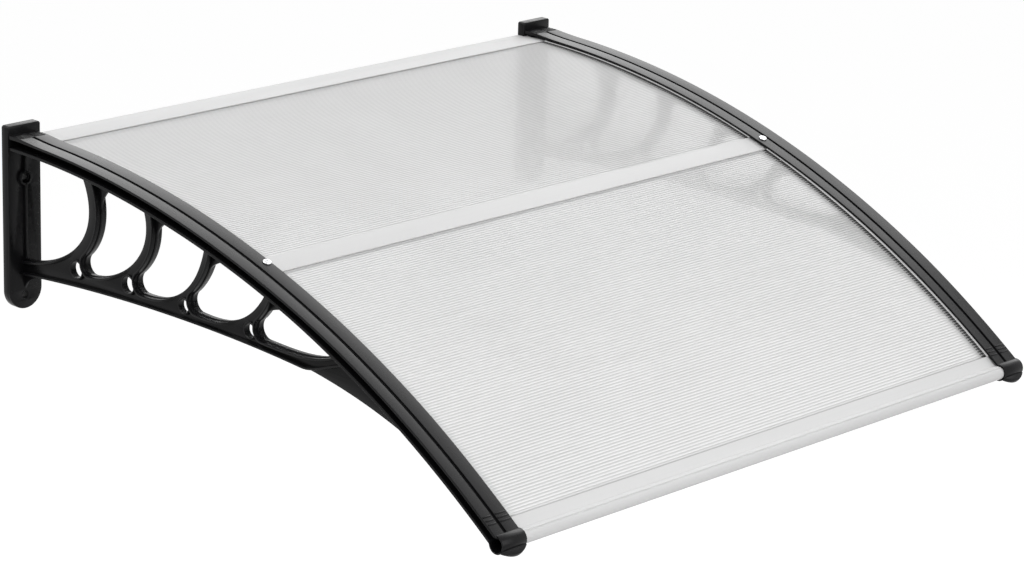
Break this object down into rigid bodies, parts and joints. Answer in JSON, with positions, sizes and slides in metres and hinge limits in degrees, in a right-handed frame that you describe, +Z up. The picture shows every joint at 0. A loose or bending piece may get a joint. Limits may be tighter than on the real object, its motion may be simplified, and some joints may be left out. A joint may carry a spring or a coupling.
{
  "type": "door awning",
  "caption": "Arched door awning for a wall: moulded scroll brackets with slotted rails hold translucent twin-wall sheets between extruded aluminium bars.",
  "frame": {"origin": "on the wall plane, midway between the brackets, on the rear bar's back face level with the rails' slots", "axes": "+X along the wall, +Y into the wall, +Z up; the awning reaches to -Y"},
  "size_m": [1.0556, 0.961, 0.3488],
  "materials": {
    "black_plastic": "black moulded plastic, satin",
    "polycarbonate": "translucent twin-wall sheet, flutes along the wall",
    "aluminium": "satin anodised extrusion",
    "zinc_steel": "bright zinc plated"
  },
  "bodies": {
    "root": {"left_bracket": "black_plastic", "right_bracket": "black_plastic", "rear_sheet": "polycarbonate", "front_sheet": "polycarbonate", "rear_bar": "aluminium", "middle_bar": "aluminium", "front_bar": "aluminium", "left_screw": "zinc_steel", "right_screw": "zinc_steel"}
  },
  "joints": []
}
